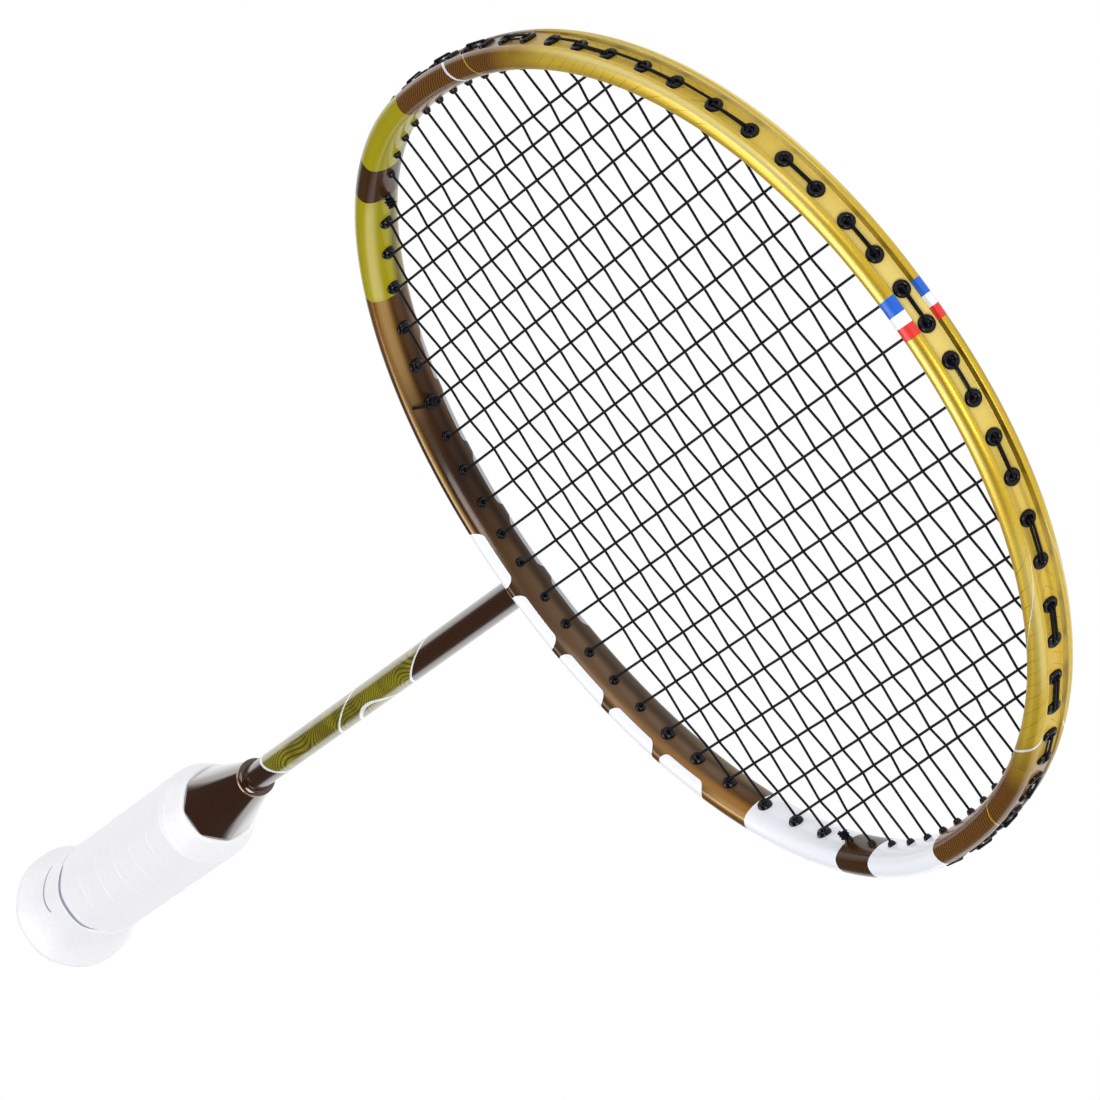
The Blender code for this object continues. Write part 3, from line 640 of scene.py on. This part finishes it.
def shaft_paint(context):
    """Brown lacquer with an olive length of fine wavy lines between white lines."""
    tone = tones(context)
    material, tree, shader = paint("shaft_lacquer")
    vector, (x, y, z) = coordinates(tree, "object")
    along = calc(tree, "MULTIPLY", y, 1000.0)
    turn = calc(tree, "ARCTAN2", x, z)
    sine = calc(tree, "SINE", turn)
    top = calc(tree, "MULTIPLY_ADD", sine, -12.0, -4.5)
    low = calc(tree, "MULTIPLY_ADD", sine, 5.3, -131.5)
    middle = calc(tree, "MULTIPLY_ADD", sine, -12.0, -65.5)
    olive = calc(
        tree, "MULTIPLY", calc(tree, "LESS_THAN", along, top), calc(tree, "GREATER_THAN", along, low)
    )
    sway = calc(tree, "MULTIPLY", speckle(tree, vector, 28.0, 0.0), 90.0)
    field = calc(tree, "ADD", calc(tree, "MULTIPLY_ADD", sine, 9.0, along), sway)
    lines = calc(tree, "MULTIPLY", contours(tree, field, 3.2, 1.2), 0.8)
    patch = ramp(tree, speckle(tree, vector, 90.0, 1.0), ((0.4, grey(0.6)), (0.6, grey(1.0))))
    lined = over(tree, lines, darken(tree, (*tone["moss"], 1.0), patch), tone["reed"])
    base = over(tree, olive, tone["umber"], lined)
    for centre in (top, low, middle):
        base = over(tree, near(tree, along, centre, 0.9), base, tone["white"])
    bow = calc(tree, "MULTIPLY_ADD", calc(tree, "POWER", calc(tree, "ADD", along, 46.0), 2.0), 0.0043, 0.394)
    hook = calc(tree, "MULTIPLY", near(tree, turn, bow, 0.13), calc(tree, "LESS_THAN", turn, 1.75))
    base = over(tree, hook, base, tone["white"])
    tree.links.new(base, shader.inputs["Base Color"])
    shader.inputs["Roughness"].default_value = 0.15
    shader.inputs["Coat Weight"].default_value = 0.3
    return material


class Step(bpy.types.Operator):
    """Base of the operators that build one piece or group."""

    bl_options = {"REGISTER", "UNDO"}


class OBJECT_OT_racket_hoop(Step):
    """Head hoop with its channel and the boss for the shaft"""

    bl_idname = "object.racket_hoop"
    bl_label = "Racket hoop"

    def execute(self, context):
        """Section (r, z) swept along the wall: p = wall + (r - sunk depth) normal + z up."""
        size = millimetres(context)
        w, h, g = size["hoop_width"], size["hoop_height"] / 2, size["groove_height"] / 2
        upper = [
            (0.012, 0.22 * h, 0), (0.05, 0.46 * h, 0), (0.14, 0.74 * h, 0), (0.29, 0.94 * h, 0), (0.47, h, 0),
            (0.67, 0.98 * h, 0), (0.87, 0.87 * h, 0), (0.975, 0.72 * h, 0), (1.0, 0.6 * h, 0),
            (1.0, g + 0.22, 0.06), (1.0, g + 0.03, 0.35), (1.0, g - 0.03, 0.85), (1.0, g - 0.25, 1.0),
            (1.0, 0.5 * g, 1.0),
        ]
        control = [(0.0, 0.0, 0)] + upper + [(1.0, 0.0, 1.0)] + [(r, -z, sunk) for r, z, sunk in reversed(upper)]
        r, z, sunk = through(control, 4).T
        angle, perimeter = stations(size, 520)
        x, y, nx, ny = (q[:, None] for q in wall(size, angle[:-1]))
        run = np.linspace(-0.5, 0.5, 521)[:-1, None] * perimeter
        reach = r * w - sunk * channel(size, run)
        points = np.stack([x + nx * reach, y + ny * reach, np.broadcast_to(z, reach.shape)], -1)
        shell = Shell()
        shell.grid(points, np.linspace(0, 1, 521), np.linspace(0, 1, len(r) + 1), wrap_u=True, wrap_v=True)
        throat = size["overall"] - 2 * w - size["tip_reach"] - size["throat_reach"]
        radius = size["shaft"] / 2
        profile = [(0.0, -4.0), (radius + 0.9, -4.0), (radius + 0.9, -0.2), (radius + 0.75, 0.4),
                   (radius + 0.3, 1.2), (radius + 0.1, 1.4), (0.0, 1.4)]
        lathe(shell, (0.0, throat, 0.0), (0.0, -1.0, 0.0), profile, 64)
        shell.piece(context, "smooth_hoop", frame_paint(context, perimeter), ["head_frame"])
        return {"FINISHED"}


def grommet_groups(names):
    """Hole names of every grommet node, read from the node's own name."""
    groups = {}
    for name in names:
        words = name.split("_")
        if not words[0].startswith("grommet"):
            continue
        if words[2] == "centre":
            groups[name] = ["T1L", "T1R"]
            continue
        letter = words[2][0].upper()
        kind = {"tip": "T", "throat": "B", "side": "C"}[words[1]]
        keys = [kind + number + letter for number in words[3:] if number != "corner"]
        groups[name] = keys + (["B11" + letter] if words[-1] == "corner" else [])
    return groups


class OBJECT_OT_racket_grommets(Step):
    """Black grommets, each pair with its runner"""

    bl_idname = "object.racket_grommets"
    bl_label = "Racket grommets"

    def execute(self, context):
        size = millimetres(context)
        holes = lay_out(size)
        material = plastic("grommet_plastic", tones(context)["black"], 0.2, 900.0, 0.02, depth=0.8)
        material.node_tree.nodes["Principled BSDF"].inputs["Specular IOR Level"].default_value = 0.22
        head = [(0.0, 0.12), (0.72, 0.12), (0.84, 0.3), (1.0, 0.58), (1.32, 0.76), (1.66, 0.68), (1.88, 0.42),
                (1.92, 0.05), (1.92, -0.3), (0.0, -0.3)]
        for name, keys in grommet_groups(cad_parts).items():
            shell = Shell()
            for key in keys:
                hole = holes[key]
                wide, slim = (0.98, 0.62) if key[0] != "B" else (1.2, 0.85) if int(key[1:-1]) < 6 else (1.7, 1.3)
                foot = -hole.floor - 1.0
                barrel = [(0.0, foot + 3.0), (wide, foot + 3.0), (wide, foot + 0.85), (0.8 * wide + 0.2 * slim, foot + 0.55),
                          (slim, foot + 0.05), (slim - 0.1, foot), (0.48, foot), (0.4, foot + 0.2), (0.0, foot + 0.2)]
                lathe(shell, hole.exit, hole.normal, head, 28)
                lathe(shell, hole.exit, hole.axis, barrel, 24)
            if len(keys) == 2:
                one, two = (holes[key] for key in keys)
                run = (two.exit - one.exit) / np.linalg.norm(two.exit - one.exit)
                path = np.linspace(one.exit + run + one.normal * 0.16, two.exit - run + two.normal * 0.16, 6)
                tube(shell, path, 0.26, 10)
            shell.piece(context, "smooth_" + name, material, [name])
        return {"FINISHED"}


def loop(one, two, side):
    """Outside stretch of a string between two holes, from bend to bend."""
    points = [one.inside(side), one.outside(1.0, side), two.outside(1.0, side), two.inside(side)]
    return rounded(points, 0.8)


def main_runs(size, holes):
    """Lower and upper end of every main string, from left to right."""
    order = [(i, "L") for i in range(size["mains"], 0, -1)] + [(i, "R") for i in range(1, size["mains"] + 1)]
    return [(holes["B%d%s" % key], holes["T%d%s" % key]) for key in order]


class OBJECT_OT_racket_strings(Step):
    """Woven main and cross strings, and the knots of their ends"""

    bl_idname = "object.racket_strings"
    bl_label = "Racket strings"

    def execute(self, context):
        """Heights swing as cosines between crossings: one string over, the next under."""
        size = millimetres(context)
        holes = lay_out(size)
        material = plastic("string_nylon", tones(context)["black"], 0.5, 300.0, 0.0, depth=0.8)
        material.node_tree.nodes["Principled BSDF"].inputs["Specular IOR Level"].default_value = 0.1
        radius, swing = size["string"] / 2, 0.34
        runs = main_runs(size, holes)
        crossings = np.arange(1, size["crosses"] + 1)
        left = [holes[cross_hole(k, "L")] for k in crossings]
        right = [holes[cross_hole(k, "R")] for k in crossings]
        height = np.array([hole.bend[1] for hole in right])
        reach = np.array([hole.bend[0] for hole in right])
        bottom = np.array([b.bend for b, _ in runs])
        top = np.array([t.bend for _, t in runs])
        share = (height[None] - bottom[:, 1:2]) / (top[:, 1:2] - bottom[:, 1:2])
        x = bottom[:, :1] + (top[:, :1] - bottom[:, :1]) * share
        met = (share > 0.01) & (share < 0.99) & (np.abs(x) < reach[None] - 0.8)
        sign = np.where((np.arange(len(runs))[:, None] + crossings[None]) % 2 == 0, 1.0, -1.0)

        path = loop(holes["C19L"], holes["B11L"], 1)
        for m, (low, high) in enumerate(runs):
            pick = np.flatnonzero(met[m])[np.argsort(share[m][met[m]])]
            up = m % 2 == 0
            ends = (low, high) if up else (high, low)
            where = share[m][pick] if up else 1 - share[m][pick][::-1]
            swings = swing * (sign[m][pick] if up else sign[m][pick][::-1])
            path += ease(ends[0].inside(1), ends[1].inside(1), swings, where)[1:-1]
            if m + 1 < len(runs):
                path += loop(ends[1], runs[m + 1][1 if up else 0], 1)
        path += loop(holes["B11R"], holes["C19R"], 1)
        shell = Shell()
        tube(shell, path, radius, 8)
        shell.piece(context, "woven_main_string", material, ["main_string"])

        path = loop(holes["T6R"], right[0], -1)
        for k in range(size["crosses"]):
            to_left = k % 2 == 0
            ends = (right[k], left[k]) if to_left else (left[k], right[k])
            pick = np.flatnonzero(met[:, k])
            pick = pick[::-1] if to_left else pick
            where = (x[pick, k] - ends[0].bend[0]) / (ends[1].bend[0] - ends[0].bend[0])
            path += ease(ends[0].inside(-1), ends[1].inside(-1), -swing * sign[pick, k], where)[1:-1]
            if k + 1 < size["crosses"]:
                path += loop(ends[1], left[k + 1] if to_left else right[k + 1], -1)
        last, passed, tied = left[-1], holes["B7L"], holes["B6L"]
        path += rounded([last.inside(-1), last.outside(1.0, -1), passed.outside(1.0, -1), tied.outside(1.0, -1),
                         tied.inside(-1)], 0.8)
        shell = Shell()
        tube(shell, path, radius, 8)
        shell.piece(context, "woven_cross_string", material, ["cross_string"])

        knots = (
            ("main_knot_left", "C19L", (1, 0, 0), 1), ("main_knot_right", "C19R", (-1, 0, 0), 1),
            ("cross_knot_tip", "T6R", (0, -1, 0), -1), ("cross_knot_throat", "B6L", (0, 1, 0), -1),
        )
        for name, key, along, side in knots:
            shell = Shell()
            along = np.array(along, float)
            across = np.cross(along, (0.0, 0.0, 1.0))
            turn = np.linspace(0, 5 * np.pi, 70)[:, None]
            wind = np.cos(turn) * across + np.sin(turn) * np.array((0.0, 0.0, 1.0))
            coil = holes[key].inside(side) + along * (0.34 * turn / np.pi - 0.1) + wind * 0.86
            tube(shell, coil, radius, 8)
            if name == "cross_knot_throat":
                t = np.linspace(0, 1, 12)[:, None]
                tail = holes[key].normal * (0.5 * t + 1.2 * t ** 2) + np.array((-0.7, 0.3, 3.6)) * t
                tube(shell, holes[key].inside(1) + (0.0, 0.0, 0.5) + tail, radius, 8)
            shell.piece(context, "tied_" + name, material, [name])
        return {"FINISHED"}


def octagon(turn, edge):
    """Radius of a rounded octagon of apothem 1: (sum |cos(t - k pi / 4)|^edge)^(-1 / edge)."""
    spokes = np.abs(np.cos(turn[..., None] - np.arange(4) * np.pi / 4))
    return np.sum(spokes ** edge, -1) ** (-1 / edge)


def turned(shell, profile, sides, edge=30.0):
    """Solid about the y axis: rows (y, radius, share of octagon), closed from the last row to the first."""
    turn = np.linspace(0, 2 * np.pi, sides, endpoint=False)[:, None]
    y, r, share = np.array([(*row, 0.0)[:3] for row in profile]).T
    radius = r * (1 + share * (octagon(turn, edge) - 1))
    points = np.stack([radius * np.cos(turn), np.broadcast_to(y, radius.shape), radius * np.sin(turn)], -1)
    shell.grid(points, np.linspace(0, 1, sides + 1), np.linspace(0, 1, len(y) + 1), wrap_u=True, wrap_v=True)


class OBJECT_OT_racket_shaft(Step):
    """Round lacquered shaft"""

    bl_idname = "object.racket_shaft"
    bl_label = "Racket shaft"

    def execute(self, context):
        size = millimetres(context)
        low, high = (corner[1] * 1000 + size["overall"] / 2 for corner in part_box("shaft"))
        radius = size["shaft"] / 2
        shell = Shell()
        rows = [(y, radius) for y in np.linspace(low, high, 120)]
        turned(shell, [(low, radius - 0.9)] + rows + [(high, radius - 0.9)], 64)
        shell.piece(context, "smooth_shaft", shaft_paint(context), ["shaft"], sharp=40)
        return {"FINISHED"}


class OBJECT_OT_racket_cone(Step):
    """Cone over the handle and its thin ring"""

    bl_idname = "object.racket_cone"
    bl_label = "Racket cone"

    def execute(self, context):
        size, tone = millimetres(context), tones(context)
        half = size["overall"] / 2
        low, high = (corner[1] * 1000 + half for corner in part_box("cone_cap"))
        share = np.linspace(0, 1, 60)
        rows = [(low + (high - low) * s, 11.0 - 6.2 * s, max(0.0, 1 - 1.1 * s)) for s in share]
        shell = Shell()
        turned(shell, [(low, 3.8)] + rows + [(high, 3.8)], 160)
        material = plastic("cone_lacquer", tone["umber"], 0.08, 60.0, 0.0, 1.0, 0.85)
        shell.piece(context, "smooth_cone", material, ["cone_cap"], sharp=40)
        low, high = (corner[1] * 1000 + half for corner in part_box("cone_ring"))
        shell = Shell()
        step = (high - low) / 8
        profile = [(low, 3.8), (low, 4.76), (low + step, 4.92), (low + 2.4 * step, 4.92), (low + 3.3 * step, 4.78),
                   (low + 4.7 * step, 4.78), (low + 5.6 * step, 4.9), (low + 6.6 * step, 4.88), (high, 4.55),
                   (high + 0.4, 3.9), (high + 0.4, 3.6), (high, 3.6)]
        turned(shell, profile, 96)
        material, tree, shader = paint("ring_copper")
        vector, (x, _, z) = coordinates(tree, "object")
        shade = ramp(tree, speckle(tree, vector, 300.0), (
            (0.3, tuple(0.8 * c for c in tone["copper"])), (0.7, tone["copper"])
        ))
        reach = calc(tree, "SQRT", calc(tree, "ADD", calc(tree, "POWER", x, 2.0), calc(tree, "POWER", z, 2.0)))
        rim = calc(tree, "GREATER_THAN", reach, 0.00484)
        tree.links.new(over(tree, rim, tone["umber"], shade), shader.inputs["Base Color"])
        shader.inputs["Metallic"].default_value = 0.3
        shader.inputs["Roughness"].default_value = 0.15
        shader.inputs["Coat Weight"].default_value = 1.0
        shell.piece(context, "smooth_ring", material, ["cone_ring"], sharp=40)
        return {"FINISHED"}


class OBJECT_OT_racket_handle(Step):
    """Wound grip, flared butt and the core inside"""

    bl_idname = "object.racket_handle"
    bl_label = "Racket handle"

    def execute(self, context):
        """Tape radius rises by a step over each turn: phase = y / pitch - t / 2 pi."""
        size, tone = millimetres(context), tones(context)
        half = size["overall"] / 2
        low, high = (corner[1] * 1000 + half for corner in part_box("grip_tape"))
        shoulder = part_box("cone_cap")[0][1] * 1000 + half
        turn = np.linspace(0, 2 * np.pi, 144, endpoint=False)[:, None]
        y = np.linspace(low, high, 480)[None]
        phase = (y / size["tape_pitch"] - turn / (2 * np.pi)) % 1.0
        lap = np.where(phase < 0.94, phase / 0.94, 1 - ((phase - 0.94) / 0.06) ** 2)
        slope = np.clip((y - shoulder + 1.5) / (high - shoulder + 1.5), 0, 1)
        top = 11.0 - 6.2 * (high - shoulder) / 45.5
        body = size["grip"] + (top + 0.75 - size["grip"]) * slope ** 1.1
        ends = 0.9 * np.clip(1 - (y - low) / 1.0, 0, 1) ** 2 + 0.5 * np.clip(1 - (high - y) / 0.8, 0, 1) ** 2
        radius = (body - ends) * (1 + 0.55 * (octagon(turn, 14.0) - 1)) + 0.1 * lap ** 4
        inner = np.concatenate([
            np.full_like(turn, 11.1), radius, (top - 0.3) * octagon(turn, 30.0) ** 0.7
        ], 1)
        y = np.concatenate([y[:, :1], y, y[:, -1:]], 1)
        points = np.stack([inner * np.cos(turn), np.broadcast_to(y, inner.shape), inner * np.sin(turn)], -1)
        shell = Shell()
        shell.grid(points, np.linspace(0, 1, 145), np.linspace(0, 1, 483), wrap_u=True, wrap_v=True)
        material = plastic("grip_tape", tone["tape"], 0.5, 900.0, 0.06)
        shell.piece(context, "wound_tape", material, ["grip_tape"], sharp=50)

        edge = size["butt"]
        rows = [(0.0, 0.0), (0.0, edge - 1.6), (0.12, edge - 1.0), (0.5, edge - 0.4), (1.3, edge - 0.02),
                (2.2, edge), (3.0, edge - 0.12)]
        neck, brim_y, neck_y = size["grip"] + 0.2, 3.5, low - 1.6
        share = np.linspace(0, 1, 60)
        flank = neck + (edge - 0.28 - neck) * (1 - share) ** 3.4
        rows += list(zip(brim_y + (neck_y - brim_y) * share, flank))
        rows += [(neck_y + 0.25, neck - 0.15), (neck_y + 0.4, neck - 0.5), (neck_y + 0.5, neck - 0.8),
                 (low - 0.3, neck - 0.9), (low - 0.3, 0.0)]
        shell = Shell()
        turned(shell, [(t, r, 0.45) for t, r in rows], 144, 14.0)
        shell.piece(context, "smooth_butt", self.cover(context, neck_y), ["butt_cap"], sharp=50)

        material = plastic("core_wood", tone["wood"], 0.6, 120.0, 0.3)
        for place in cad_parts["handle_core"].material_slots:
            place.material = material
        return {"FINISHED"}

    def cover(self, context, edge):
        """Butt cover with a painted shadow in the slit at its upper edge and along a short crease in its flank."""
        tone = tones(context)
        material = plastic("butt_cover", tone["tape"], 0.5, 900.0, 0.06)
        tree = material.node_tree
        shader = tree.nodes["Principled BSDF"]
        _, (x, y, z) = coordinates(tree, "object")
        along = calc(tree, "MULTIPLY_ADD", y, 1000.0, millimetres(context)["overall"] / 2 - edge)
        turn = calc(tree, "ARCTAN2", x, z)
        # Painted shadow: grey laid in the slit at the upper edge and along a short crease in the flank.
        crease_shadow = calc(tree, "MULTIPLY_ADD", calc(tree, "POWER", calc(tree, "ADD", turn, 0.75), 2.0), 9.0, -14.5)
        crease_shadow = calc(tree, "MULTIPLY", near(tree, along, crease_shadow, 0.55), near(tree, turn, -0.7, 0.5))
        slit = calc(tree, "POWER", calc(tree, "ADD", turn, 0.2), 2.0)
        slit = calc(tree, "GREATER_THAN", along, calc(tree, "MULTIPLY_ADD", slit, 0.36, 0.12))
        slit = calc(tree, "MAXIMUM", slit, crease_shadow)
        shade = shader.inputs["Base Color"].links[0].from_socket
        tree.links.new(over(tree, slit, shade, tone["slit"]), shader.inputs["Base Color"])
        return material


class SCENE_OT_racket_stage(Step):
    """Floor, even light, two lamps and the camera of the photograph"""

    bl_idname = "scene.racket_stage"
    bl_label = "Racket stage"

    def execute(self, context):
        stage = context.scene.racket_stage
        scene = context.scene
        scene.view_settings.view_transform = "Standard"

        drop, reach = -stage.drop, 40.0
        mesh = bpy.data.meshes.new("floor")
        mesh.from_pydata([(-reach, -reach, drop), (reach, -reach, drop), (reach, reach, drop), (-reach, reach, drop)],
                         [], [(0, 1, 2, 3)])
        floor = bpy.data.objects.new("floor", mesh)
        scene.collection.objects.link(floor)
        material, tree, shader = paint("floor_white")
        shader.inputs["Base Color"].default_value = (0.0, 0.0, 0.0, 1.0)
        shader.inputs["Specular IOR Level"].default_value = 0.0
        shader.inputs["Emission Color"].default_value = (1.0, 1.0, 1.0, 1.0)
        shader.inputs["Emission Strength"].default_value = 1.0
        mesh.materials.append(material)

        world = bpy.data.worlds.new("studio")
        scene.world = world
        world.use_nodes = True
        tree = world.node_tree
        back = tree.nodes["Background"]
        _, (aside, _, height) = coordinates(tree, "sky")
        low = self.fade(tree, height, 0.04, 0.15, 1.0, stage.room)
        walls = self.fade(tree, calc(tree, "ABSOLUTE", aside), 0.5, 0.8, 0.0, 0.9)
        back.inputs[0].default_value = (1.0, 1.0, 1.0, 1.0)
        tree.links.new(calc(tree, "MAXIMUM", low, walls), back.inputs[1])

        self.lamp(scene, "key_lamp", (-0.4, -1.2, 2.5), stage.key, 2.6, 1.6)
        self.lamp(scene, "fill_lamp", (1.0, 2.2, 1.3), stage.fill, 1.2, 1.2)
        self.lamp(scene, "side_lamp", (-1.4, 2.1, 1.2), stage.side, 1.4, 1.4)

        right = (0.582761146, 0.296397064, -0.756662558)
        down = (0.812642419, -0.214065119, 0.542022531)
        ahead = (-0.001321174, -0.930765763, -0.365613661)
        place = (-0.00057, 1.862505, 0.69193)
        data = bpy.data.cameras.new("camera")
        data.sensor_width = 36.0
        data.lens = stage.lens
        data.clip_end = 50.0
        camera = bpy.data.objects.new("camera", data)
        scene.collection.objects.link(camera)
        camera.matrix_world = Matrix([
            (right[i], -down[i], -ahead[i], place[i]) for i in range(3)
        ] + [(0.0, 0.0, 0.0, 1.0)])
        scene.camera = camera
        return {"FINISHED"}

    def fade(self, tree, value, low, high, first, last):
        """Smooth step from first to last while value goes from low to high."""
        node = tree.nodes.new("ShaderNodeMapRange")
        node.interpolation_type = "SMOOTHSTEP"
        tree.links.new(value, node.inputs[0])
        for index, level in enumerate((low, high, first, last), 1):
            node.inputs[index].default_value = level
        return node.outputs[0]

    def lamp(self, scene, name, place, power, width, depth):
        """Rectangular lamp that faces the head's centre."""
        data = bpy.data.lights.new(name, "AREA")
        data.shape = "RECTANGLE"
        data.energy = power
        data.size = width
        data.size_y = depth
        item = bpy.data.objects.new(name, data)
        scene.collection.objects.link(item)
        item.location = place
        aim = np.array((0.0, 0.15, 0.0)) - np.array(place)
        item.rotation_mode = "QUATERNION"
        item.rotation_quaternion = Vector(aim).to_track_quat("-Z", "Y")


class VIEW3D_PT_racket(bpy.types.Panel):
    """Sidebar with the racket's sizes, colours and steps"""

    bl_label = "Racket"
    bl_idname = "VIEW3D_PT_racket"
    bl_space_type = "VIEW_3D"
    bl_region_type = "UI"
    bl_category = "Racket"

    def draw(self, context):
        for group in (context.scene.racket_sizes, context.scene.racket_paint, context.scene.racket_stage):
            box = self.layout.box()
            for key in type(group).__annotations__:
                box.prop(group, key)
        for step in STEPS:
            self.layout.operator(step.bl_idname)


GROUPS = (("racket_sizes", RacketSizes), ("racket_paint", RacketPaint), ("racket_stage", RacketStage))
STEPS = (
    OBJECT_OT_racket_hoop, OBJECT_OT_racket_grommets, OBJECT_OT_racket_strings, OBJECT_OT_racket_shaft,
    OBJECT_OT_racket_cone, OBJECT_OT_racket_handle, SCENE_OT_racket_stage,
)


def register():
    for name, group in GROUPS:
        bpy.utils.register_class(group)
        setattr(bpy.types.Scene, name, PointerProperty(type=group))
    for item in (*STEPS, VIEW3D_PT_racket):
        bpy.utils.register_class(item)


def unregister():
    for item in (VIEW3D_PT_racket, *reversed(STEPS)):
        bpy.utils.unregister_class(item)
    for name, group in reversed(GROUPS):
        delattr(bpy.types.Scene, name)
        bpy.utils.unregister_class(group)


def main():
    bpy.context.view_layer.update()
    register()
    for step in STEPS:
        area, name = step.bl_idname.split(".")
        getattr(getattr(bpy.ops, area), name)()


if __name__ == "__main__":
    main()
